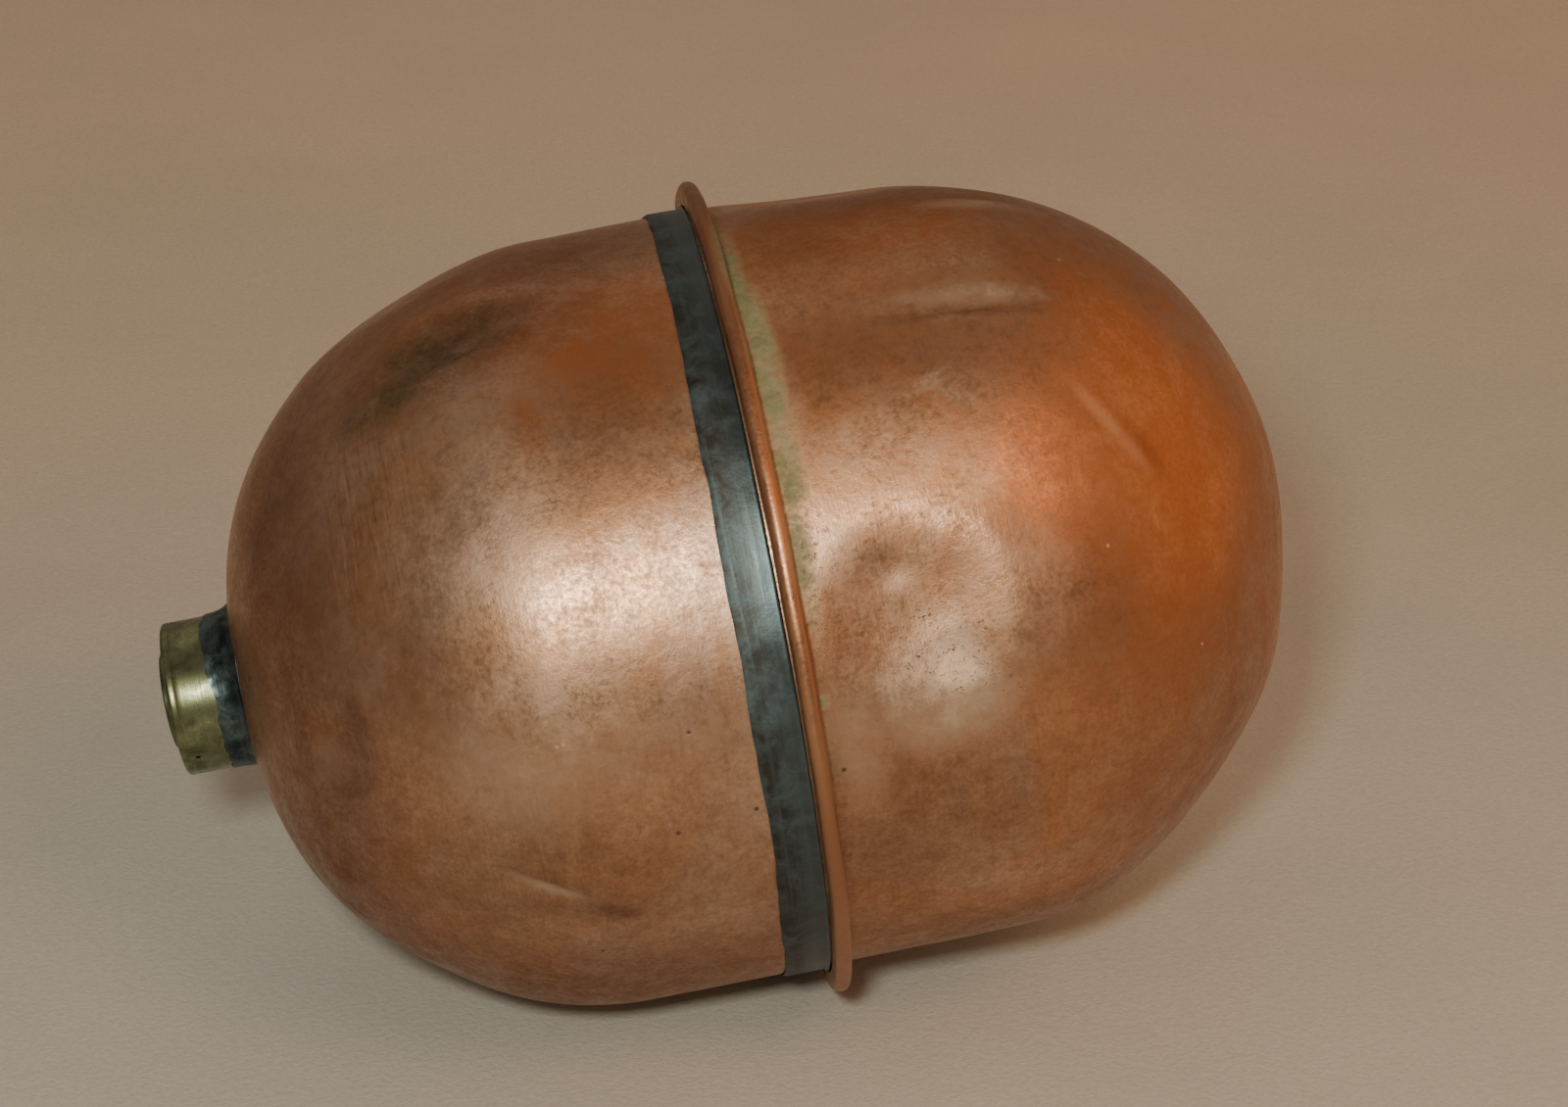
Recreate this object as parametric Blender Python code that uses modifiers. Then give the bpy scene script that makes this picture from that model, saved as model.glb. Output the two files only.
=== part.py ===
"""Copper float of a float valve: a sealed oblong vessel that screws onto the valve's rod.

Two drawn copper cups meet in a folded seam, which stands proud as a rounded bead and is
sealed by a band of soft solder. A brass bush with a blind threaded hole stands in the crown
of one cup, inside a brass collar that is soldered to the outside.

Units are metres. +X is the float's axis, from the boss to the plain end. The origin is the
centre of the bush's open end, where the rod goes in.
"""

import math

import bmesh
import bpy

# Copper cups
BODY_RADIUS = 0.0635  # outside of the straight wall, 5 inches across
SHEET = 0.0007  # thickness of the copper
WALL_LENGTH = 0.0304  # straight wall, from the middle of the seam to the dome
KNUCKLE_RADIUS = 0.052  # outside, where the wall turns into the crown
CROWN_RADIUS = 0.067  # outside, across the end of the dome
BOSS_PROJECTION = 0.0115  # from the bush's open end to the crown of the cup

# Folded seam
BEAD_RADIUS = 0.0683  # outside of the bead
BEND_RADIUS = 0.0005  # in the corner where a cup's wall turns out into its flange
HOOK_REACH = 0.0022  # length of the folded leg below the bead's round edge
TOUCHING_GAP = 0.0003  # left between pieces that touch

# Soft solder in the corner beside the bead
SEAM_SOLDER_WIDTH = 0.0076
SEAM_SOLDER_THICKNESS = 0.0004
SEAM_SOLDER_EDGE = 0.00015
SEAM_SOLDER_TAPER = 0.0010
SEAM_FILLET_RADIUS = 0.0018

# Brass bush
BUSH_RADIUS = 0.0079  # a 5/8 inch shank
BUSH_CHAMFER = 0.0003
ROD_HOLE_RADIUS = 0.0040  # core of a 3/8 inch thread
ROD_HOLE_DEPTH = 0.0107
ROD_HOLE_CHAMFER = 0.0009
DRILL_POINT_ANGLE = math.radians(118)
INNER_FLANGE_RADIUS = 0.0120
INNER_FLANGE_BACK = 0.0158  # from the open end to the face inside the float
INNER_FLANGE_GAP = 0.0005  # between the flange and the inside of the crown

# Brass collar
COLLAR_RADIUS = 0.0127  # 1 inch across
COLLAR_SETBACK = 0.0011  # how far the bush stands out of the collar
COLLAR_CHAMFER = 0.0006
PIN_HOLE_RADIUS = 0.0003
PIN_HOLE_DEPTH = 0.0012
PIN_HOLE_SETBACK = 0.0037  # behind the bush's open end
PIN_HOLE_TURN = math.radians(25)  # below the horizontal, on the -Y side

# Soft solder round the collar
BOSS_SOLDER_START = 0.0081  # behind the bush's open end
BOSS_SOLDER_RADIUS = 0.0170
BOSS_SOLDER_EDGE = 0.00025

FACETS = 48
CROWN_STEPS = 7
KNUCKLE_STEPS = 6
BEND_STEPS = 3
FILLET_STEPS = 6
SHADE_ANGLE = math.radians(35)

QUARTER_TURN = math.pi / 2
HALF_TURN = math.pi
THREE_QUARTER_TURN = 1.5 * math.pi

knuckle_height = BODY_RADIUS - KNUCKLE_RADIUS
crown_setback = math.sqrt((CROWN_RADIUS - KNUCKLE_RADIUS) ** 2 - knuckle_height**2)
crown_centre = WALL_LENGTH - crown_setback
tangent_angle = math.atan2(knuckle_height, crown_setback)
seam_x = BOSS_PROJECTION + crown_centre + CROWN_RADIUS
boss_hole_radius = BUSH_RADIUS + TOUCHING_GAP
fold_radius = BEAD_RADIUS - 1.5 * SHEET - TOUCHING_GAP
bead_half_width = 1.5 * SHEET + TOUCHING_GAP


def arc(centre, radius, start, end, steps):
    """Points along an arc, as (axial, radial), with angles from the axial direction."""
    angles = [start + (end - start) * i / steps for i in range(steps + 1)]
    return [
        (centre[0] + radius * math.cos(angle), centre[1] + radius * math.sin(angle))
        for angle in angles
    ]


def from_seam(outline):
    """An outline given by its distance to the right of the seam, in the float's frame."""
    return [(seam_x + reach, radius) for reach, radius in outline]


def from_seam_left(outline):
    """The same for a piece to the left of the seam, kept in the screw's running order."""
    return [(seam_x - reach, radius) for reach, radius in reversed(outline)]


def crown_x(radius, depth):
    """Where the boss cup's crown is at this radius, on the surface this deep in the copper."""
    return seam_x - crown_centre - math.sqrt((CROWN_RADIUS - depth) ** 2 - radius**2)


def dome(depth, from_radius):
    """Crown and knuckle of a cup, from near the axis to the straight wall."""
    crown = CROWN_RADIUS - depth
    start = math.asin(from_radius / crown)
    points = arc((crown_centre, 0.0), crown, start, tangent_angle, CROWN_STEPS)
    knuckle = (WALL_LENGTH, knuckle_height)
    points += arc(knuckle, KNUCKLE_RADIUS - depth, tangent_angle, QUARTER_TURN, KNUCKLE_STEPS)[1:]
    return points


def flange_bend(flange_face, radius):
    """Bend from the straight wall out into the flange whose near face is given."""
    centre = (flange_face + BEND_RADIUS, BODY_RADIUS + BEND_RADIUS)
    return arc(centre, radius, THREE_QUARTER_TURN, HALF_TURN, BEND_STEPS)


def finish(name, colour, roughness):
    """Plain bare metal."""
    material = bpy.data.materials.new(name)
    material.use_nodes = True
    surface = material.node_tree.nodes["Principled BSDF"]
    surface.inputs["Base Color"].default_value = (*colour, 1.0)
    surface.inputs["Roughness"].default_value = roughness
    surface.inputs["Metallic"].default_value = 1.0
    return material


def turned(name, outline, closed, collection):
    """A body turned about the float's axis from its outline.

    The outline runs down the outer side, from the plain end towards the boss. It is closed
    for a ring, and open with both ends on the axis for a solid end.
    """
    shape = bmesh.new()
    corners = [shape.verts.new((radius, 0.0, axial)) for axial, radius in outline]
    for first, second in zip(corners, corners[1:]):
        shape.edges.new((first, second))
    if closed:
        shape.edges.new((corners[-1], corners[0]))
    mesh = bpy.data.meshes.new(name)
    shape.to_mesh(mesh)
    shape.free()
    body = bpy.data.objects.new(name, mesh)
    body.rotation_euler = (0.0, QUARTER_TURN, 0.0)
    collection.objects.link(body)
    turn = body.modifiers.new("turn", "SCREW")
    turn.steps = FACETS
    turn.render_steps = FACETS
    turn.use_merge_vertices = True
    turn.merge_threshold = 0.00001
    return body


def settle(body, material):
    """Make the modifiers' result the mesh, shaded smooth between its sharp edges."""
    graph = bpy.context.evaluated_depsgraph_get()
    mesh = bpy.data.meshes.new_from_object(body.evaluated_get(graph))
    body.modifiers.clear()
    body.data = mesh
    mesh.shade_smooth()
    mesh.set_sharp_from_angle(angle=SHADE_ANGLE)
    mesh.materials.clear()
    mesh.materials.append(material)


def make_plain_cup(collection):
    """Closed cup. Its rim turns out and folds back over the other cup's flange."""
    bead_centre = (0.0, fold_radius)
    inner_half_width = bead_half_width - SHEET
    hook_end = fold_radius - HOOK_REACH
    outline = dome(0.0, 0.0)
    outline += flange_bend(bead_half_width, BEND_RADIUS)
    outline += arc(bead_centre, bead_half_width, 0.0, HALF_TURN, 8)
    outline += [(-bead_half_width, hook_end), (-inner_half_width, hook_end)]
    outline += arc(bead_centre, inner_half_width, HALF_TURN, 0.0, 6)
    outline += list(reversed(flange_bend(bead_half_width, BEND_RADIUS + SHEET)))
    outline += list(reversed(dome(SHEET, 0.0)))
    return turned("plain_cup", from_seam(outline), False, collection)


def make_boss_cup(collection):
    """Cup with a hole in its crown for the bush. Its flange lies inside the fold."""
    outline = dome(0.0, boss_hole_radius)
    outline += flange_bend(SHEET / 2, BEND_RADIUS)
    outline += arc((0.0, fold_radius), SHEET / 2, 0.0, HALF_TURN, 4)
    outline += list(reversed(flange_bend(SHEET / 2, BEND_RADIUS + SHEET)))
    outline += list(reversed(dome(SHEET, boss_hole_radius)))
    return turned("boss_cup", from_seam_left(outline), True, collection)


def make_seam_solder(collection):
    """Band of solder on the boss cup, with a fillet up the side of the bead."""
    near = bead_half_width + TOUCHING_GAP
    far = near + SEAM_SOLDER_WIDTH
    inside = BODY_RADIUS + TOUCHING_GAP
    top = inside + SEAM_SOLDER_THICKNESS
    fillet_centre = (near + SEAM_FILLET_RADIUS, top + SEAM_FILLET_RADIUS)
    outline = [(far, inside), (far, inside + SEAM_SOLDER_EDGE)]
    outline += [(far - SEAM_SOLDER_TAPER, top)]
    outline += arc(
        fillet_centre, SEAM_FILLET_RADIUS, THREE_QUARTER_TURN, HALF_TURN, FILLET_STEPS
    )
    outline += [(near, inside)]
    return turned("seam_solder", from_seam_left(outline), True, collection)


def make_threaded_bush(collection):
    """Bush with a blind hole for the rod, and a flange against the inside of the crown."""
    flange_depth = SHEET + INNER_FLANGE_GAP
    drill_tip = ROD_HOLE_DEPTH + ROD_HOLE_RADIUS / math.tan(DRILL_POINT_ANGLE / 2)
    outline = [
        (INNER_FLANGE_BACK, 0.0),
        (INNER_FLANGE_BACK, INNER_FLANGE_RADIUS),
        (crown_x(INNER_FLANGE_RADIUS, flange_depth), INNER_FLANGE_RADIUS),
        (crown_x(BUSH_RADIUS, flange_depth), BUSH_RADIUS),
        (BUSH_CHAMFER, BUSH_RADIUS),
        (0.0, BUSH_RADIUS - BUSH_CHAMFER),
        (0.0, ROD_HOLE_RADIUS + ROD_HOLE_CHAMFER),
        (ROD_HOLE_CHAMFER, ROD_HOLE_RADIUS),
        (ROD_HOLE_DEPTH, ROD_HOLE_RADIUS),
        (drill_tip, 0.0),
    ]
    return turned("threaded_bush", outline, False, collection)


def make_boss_collar(collection, cutters):
    """Plain ring round the bush, bedded on the crown, with a pin hole low on one side."""
    back_outside = crown_x(COLLAR_RADIUS, 0.0) - TOUCHING_GAP
    back_inside = crown_x(boss_hole_radius, 0.0) - TOUCHING_GAP
    outline = [
        (back_outside, COLLAR_RADIUS),
        (COLLAR_SETBACK + COLLAR_CHAMFER, COLLAR_RADIUS),
        (COLLAR_SETBACK, COLLAR_RADIUS - COLLAR_CHAMFER),
        (COLLAR_SETBACK, boss_hole_radius),
        (back_inside, boss_hole_radius),
    ]
    collar = turned("boss_collar", outline, True, collection)

    bpy.ops.mesh.primitive_cylinder_add(
        vertices=12, radius=PIN_HOLE_RADIUS, depth=2 * PIN_HOLE_DEPTH
    )
    drill = bpy.context.object
    drill.name = "pin_drill"
    for owner in drill.users_collection:
        owner.objects.unlink(drill)
    cutters.objects.link(drill)
    drill.hide_render = True
    drill.display_type = "WIRE"
    drill.location = (
        PIN_HOLE_SETBACK,
        -COLLAR_RADIUS * math.cos(PIN_HOLE_TURN),
        -COLLAR_RADIUS * math.sin(PIN_HOLE_TURN),
    )
    drill.rotation_euler = (QUARTER_TURN + PIN_HOLE_TURN, 0.0, 0.0)
    hole = collar.modifiers.new("pin_hole", "BOOLEAN")
    hole.operation = "DIFFERENCE"
    hole.object = drill
    return collar


def make_boss_solder(collection):
    """Fillet of solder that sweeps from the collar's side out onto the crown."""
    inside = COLLAR_RADIUS + TOUCHING_GAP
    lip = inside + BOSS_SOLDER_EDGE
    foot = crown_x(BOSS_SOLDER_RADIUS, 0.0) - TOUCHING_GAP
    reach = foot - BOSS_SOLDER_EDGE - BOSS_SOLDER_START
    rise = BOSS_SOLDER_RADIUS - lip
    outline = [(foot, BOSS_SOLDER_RADIUS)]
    for i in range(FILLET_STEPS + 1):
        turn = QUARTER_TURN * i / FILLET_STEPS
        outline.append(
            (
                BOSS_SOLDER_START + reach * math.cos(turn),
                BOSS_SOLDER_RADIUS - rise * math.sin(turn),
            )
        )
    outline += [(BOSS_SOLDER_START, inside), (crown_x(inside, 0.0) - TOUCHING_GAP, inside)]
    return turned("boss_solder", outline, True, collection)


for thing in list(bpy.data.objects):
    bpy.data.objects.remove(thing, do_unlink=True)

parts = bpy.data.collections.new("copper_float")
bpy.context.scene.collection.children.link(parts)
cutting_tools = bpy.data.collections.new("cutters")
bpy.context.scene.collection.children.link(cutting_tools)

copper = finish("copper", (0.62, 0.31, 0.19), 0.38)
solder = finish("solder", (0.20, 0.24, 0.25), 0.48)
brass = finish("brass", (0.62, 0.52, 0.25), 0.32)

pieces = [
    (make_plain_cup(parts), copper),
    (make_boss_cup(parts), copper),
    (make_seam_solder(parts), solder),
    (make_threaded_bush(parts), brass),
    (make_boss_collar(parts, cutting_tools), brass),
    (make_boss_solder(parts), solder),
]
for piece, metal in pieces:
    settle(piece, metal)
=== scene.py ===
"""Copper float of a float valve: two drawn cups, a folded and soldered seam, a brass boss.

+X is the float's axis, from the boss to the plain end. A place on the cups is given by its
distance along the axis from the boss's open end, in millimetres, and by its turn about the
axis, in degrees: 0 faces the front (-Y), 90 is the top and -90 is underneath.
"""

import math

import bmesh
import bpy
from mathutils import Matrix, Vector, noise


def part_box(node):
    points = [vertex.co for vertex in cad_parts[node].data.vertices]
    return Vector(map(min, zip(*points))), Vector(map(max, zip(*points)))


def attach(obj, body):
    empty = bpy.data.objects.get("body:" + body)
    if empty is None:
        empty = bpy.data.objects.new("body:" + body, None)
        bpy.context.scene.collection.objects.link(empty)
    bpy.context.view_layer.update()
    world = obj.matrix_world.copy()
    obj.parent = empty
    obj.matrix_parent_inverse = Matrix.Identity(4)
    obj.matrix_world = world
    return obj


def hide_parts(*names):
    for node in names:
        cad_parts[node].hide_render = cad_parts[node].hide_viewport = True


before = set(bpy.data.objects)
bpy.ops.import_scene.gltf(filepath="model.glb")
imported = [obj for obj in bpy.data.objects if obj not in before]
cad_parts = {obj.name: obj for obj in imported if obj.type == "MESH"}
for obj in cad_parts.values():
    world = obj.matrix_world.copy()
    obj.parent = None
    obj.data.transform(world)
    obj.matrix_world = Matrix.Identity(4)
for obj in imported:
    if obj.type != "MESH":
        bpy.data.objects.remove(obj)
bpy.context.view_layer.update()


# --- Boss cup ---------------------------------------------------------------------------
# Half of the float: thin sheet copper drawn to a cup, with a hole in its crown for the bush
# and a flange at its rim that the other cup's fold grips. It has browned unevenly in use,
# with a sooty burn on top, and knocks have left shallow dents and creases.

mm = 0.001
sheet = 0.7 * mm
body_radius = 63.5 * mm
wall_length = 30.4 * mm
knuckle_radius = 52 * mm
crown_radius = 67 * mm
bend_radius = 0.5 * mm
touching_gap = 0.3 * mm
boss_hole_radius = 8.2 * mm
cup_facets = 384

plain_cup_low, plain_cup_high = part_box("plain_cup")
bead_half_width = 1.5 * sheet + touching_gap
bead_radius = plain_cup_high[1]
fold_radius = bead_radius - bead_half_width
seam_x = plain_cup_low[0] + bead_half_width
knuckle_height = body_radius - knuckle_radius
crown_setback = math.sqrt((crown_radius - knuckle_radius) ** 2 - knuckle_height**2)
crown_centre = wall_length - crown_setback
crown_angle = math.atan2(knuckle_height, crown_setback)
quarter_turn = math.pi / 2
half_turn = math.pi


def arc(centre, radius, start, end, steps):
    """Points along an arc, as (axial, radial), with angles from the axial direction."""
    angles = [start + (end - start) * i / steps for i in range(steps + 1)]
    return [
        (centre[0] + radius * math.cos(angle), centre[1] + radius * math.sin(angle))
        for angle in angles
    ]


def run(start, end, steps):
    """Points along a straight line, both ends included."""
    return [
        tuple(a + (b - a) * i / steps for a, b in zip(start, end)) for i in range(steps + 1)
    ]


def dome(depth, from_radius, fineness):
    """Crown, knuckle and straight wall of a cup, measured from the seam, this deep in it."""
    crown = crown_radius - depth
    start = math.asin(from_radius / crown)
    points = arc((crown_centre, 0), crown, start, crown_angle, round(60 * fineness))
    knuckle = (wall_length, knuckle_height)
    turn_in = knuckle_radius - depth
    points += arc(knuckle, turn_in, crown_angle, quarter_turn, round(44 * fineness))[1:]
    wall_radius = body_radius - depth
    wall_end = 3 * mm
    wall = run((wall_length, wall_radius), (wall_end, wall_radius), round(32 * fineness))
    return points + wall[1:]


def flange_bend(flange_face, radius):
    """Bend from the straight wall out into the flange whose near face is given."""
    centre = (flange_face + bend_radius, body_radius + bend_radius)
    return arc(centre, radius, 1.5 * math.pi, math.pi, 4)


def turned(outline, closed, facets):
    """A body turned about the float's axis, from an outline of (axial, radial) points."""
    shape = bmesh.new()
    corners = [shape.verts.new((axial, 0, radius)) for axial, radius in outline]
    pairs = list(zip(corners, corners[1:]))
    if closed:
        pairs.append((corners[-1], corners[0]))
    edges = [shape.edges.new(pair) for pair in pairs]
    bmesh.ops.spin(
        shape,
        geom=corners + edges,
        cent=(0, 0, 0),
        axis=(1, 0, 0),
        angle=2 * math.pi,
        steps=facets,
        use_merge=True,
    )
    bmesh.ops.remove_doubles(shape, verts=shape.verts, dist=0.001 * mm)
    bmesh.ops.recalc_face_normals(shape, faces=shape.faces)
    return shape


def outward(point):
    """Straight out of the cups' wall, and out from the middle of the crown on a dome."""
    reach = max(-crown_centre, min(crown_centre, point.x - seam_x))
    return (point - Vector((seam_x + reach, 0, 0))).normalized()


def on_cup(along, turn):
    """The point on the outside of a round, undented cup at this place."""
    reach = abs(along * mm - seam_x)
    radius = body_radius
    if reach > crown_centre + crown_radius * math.cos(crown_angle):
        radius = math.sqrt(max(0, crown_radius**2 - (reach - crown_centre) ** 2))
    elif reach > wall_length:
        radius = knuckle_height + math.sqrt(knuckle_radius**2 - (reach - wall_length) ** 2)
    angle = math.radians(turn)
    return Vector((along * mm, -radius * math.cos(angle), radius * math.sin(angle)))


def spread(along, turn, long, wide, tilt):
    """How far a point lies from a place, along and across it, in the mark's own half sizes.

    Tilt is how much the mark's length leans from the axis towards the top, in degrees.
    """
    centre = on_cup(along, turn)
    angle = math.radians(turn)
    around = Vector((0, math.sin(angle), math.cos(angle)))
    lengthwise = around.cross(outward(centre))
    lean = math.radians(tilt)
    length_way = (lengthwise * math.cos(lean) + around * math.sin(lean)) / (long * mm)
    width_way = (around * math.cos(lean) - lengthwise * math.sin(lean)) / (wide * mm)
    farthest = (1.6 * max(long, wide) * mm) ** 2

    def measure(point):
        offset = point - centre
        if offset.length_squared > farthest:
            return None
        return offset.dot(length_way), offset.dot(width_way)

    return measure


def bowl(along, turn, long, wide, tilt, depth, edge=2.0, rim=0.0):
    """A dished dent. A lower edge number makes a crisper rim, and rim raises it."""
    measure = spread(along, turn, long, wide, tilt)

    def height(point):
        found = measure(point)
        if found is None:
            return 0.0
        out = found[0] ** 2 + found[1] ** 2
        raised = rim * math.exp(-(((math.sqrt(out) - 1.05) / 0.16) ** 2))
        return (raised - depth * max(0.0, 1.0 - out) ** edge) * mm

    return height


def groove(along, turn, long, wide, tilt, depth):
    """A sharp crease in the sheet, deepest at its middle and running out at its ends."""
    measure = spread(along, turn, long, wide, tilt)

    def height(point):
        found = measure(point)
        if found is None:
            return 0.0
        ends = max(0.0, 1.0 - found[0] ** 2)
        return -depth * ends * max(0.0, 1.0 - abs(found[1])) ** 1.5 * mm

    return height


def patch(along, turn, long, wide, tilt, strength):
    """A stained area that fades out to its edge."""
    measure = spread(along, turn, long, wide, tilt)

    def amount(point):
        found = measure(point)
        if found is None:
            return 0.0
        return strength * max(0.0, 1.0 - found[0] ** 2 - found[1] ** 2)

    return amount


def batter(shape, dents, seed):
    """Dent a cup, both faces of its sheet together, and leave it a little out of round."""
    drift = Vector((seed, 2 * seed, 3 * seed))
    for vert in shape.verts:
        point = vert.co.copy()
        if math.hypot(point.y, point.z) > body_radius + bend_radius:
            continue
        near_seam = min(1.0, max(0.0, abs(point.x - seam_x) / (9 * mm) - 0.2))
        near_boss = min(1.0, max(0.0, math.hypot(point.y, point.z) / (8 * mm) - 2.1))
        swell = 0.32 * noise.noise(point / (38 * mm) + drift)
        swell += 0.09 * noise.noise(point / (13 * mm) + drift)
        swell += 0.022 * noise.noise(point / (4.5 * mm) + drift)
        move = (swell - 0.12) * near_seam * near_boss * mm
        for dent in dents:
            move += dent(point)
        vert.co = point + outward(point) * move


def stain(mesh, stains):
    """Write how strongly each stain covers each point of the mesh."""
    for name, patches in stains.items():
        layer = mesh.attributes.new(name, "FLOAT", "POINT")
        for vert in mesh.vertices:
            layer.data[vert.index].value = max(spot(vert.co) for spot in patches)


def node(tree, kind, sockets, **settings):
    """A shader node, with its sockets linked or filled in, and its settings."""
    made = tree.nodes.new(kind)
    for name, value in settings.items():
        setattr(made, name, value)
    for name, value in sockets.items():
        if isinstance(value, bpy.types.NodeSocket):
            tree.links.new(value, made.inputs[name])
        else:
            made.inputs[name].default_value = value
    return made


def cloudy(tree, place, scale, detail, rough=0.55, warp=0.0):
    """Noise, from 0 to 1. Scale is in clouds per metre."""
    sockets = {"Vector": place, "Scale": scale, "Detail": detail, "Roughness": rough}
    sockets["Distortion"] = warp
    return node(tree, "ShaderNodeTexNoise", sockets).outputs["Fac"]


def between(tree, value, low, high, to_low=0.0, to_high=1.0):
    """Stretch the range between low and high to the new one, and cut off the rest."""
    sockets = {"Value": value, "From Min": low, "From Max": high}
    sockets.update({"To Min": to_low, "To Max": to_high})
    return node(tree, "ShaderNodeMapRange", sockets).outputs["Result"]


def maths(tree, operation, first, second):
    """The result of one sum on two values."""
    return node(tree, "ShaderNodeMath", {0: first, 1: second}, operation=operation).outputs[0]


def stacked(tree, *layers):
    """The sum of several values, each with its own weight."""
    total = None
    for value, weight in layers:
        layer = maths(tree, "MULTIPLY", value, weight)
        total = layer if total is None else maths(tree, "ADD", total, layer)
    return total


def blend(tree, amount, under, over):
    """One colour laid over another."""
    made = node(tree, "ShaderNodeMix", {0: amount}, data_type="RGBA", blend_type="MIX")
    for index, colour in ((6, under), (7, over)):
        if isinstance(colour, bpy.types.NodeSocket):
            tree.links.new(colour, made.inputs[index])
        else:
            made.inputs[index].default_value = (*colour, 1.0)
    return made.outputs[2]


def stained(tree, name):
    """How strongly the named stain covers the surface."""
    return node(tree, "ShaderNodeAttribute", {}, attribute_name=name).outputs["Fac"]


def spots(tree, place, places, size):
    """1 on small round spots at these places, 0 elsewhere."""
    total = None
    for along, turn in places:
        sockets = {0: place, 1: on_cup(along, turn)}
        away = node(tree, "ShaderNodeVectorMath", sockets, operation="DISTANCE")
        spot = between(tree, away.outputs["Value"], size * mm, 0.4 * size * mm)
        total = spot if total is None else maths(tree, "MAXIMUM", total, spot)
    return total


def metal(name, metallic=1.0):
    """A new metal, its shader, and where on the float a point of it is."""
    material = bpy.data.materials.new(name)
    material.use_nodes = True
    tree = material.node_tree
    surface = tree.nodes["Principled BSDF"]
    surface.inputs["Metallic"].default_value = metallic
    place = node(tree, "ShaderNodeTexCoord", {}).outputs["Object"]
    return material, tree, surface, place


def raise_grain(tree, surface, height, depth, strength=1.0):
    """Raise the surface by a height pattern, this deep where the pattern is 1."""
    sockets = {"Height": height, "Distance": depth, "Strength": strength}
    relief = node(tree, "ShaderNodeBump", sockets)
    tree.links.new(relief.outputs["Normal"], surface.inputs["Normal"])


def brushed(tree, place, across, around):
    """Fine marks that run round the float, with this many across and around per metre."""
    sockets = {"Vector": place, "Scale": (across, around, around)}
    stretched = node(tree, "ShaderNodeMapping", sockets).outputs["Vector"]
    return cloudy(tree, stretched, 1.0, 3.0, 0.6)


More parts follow.
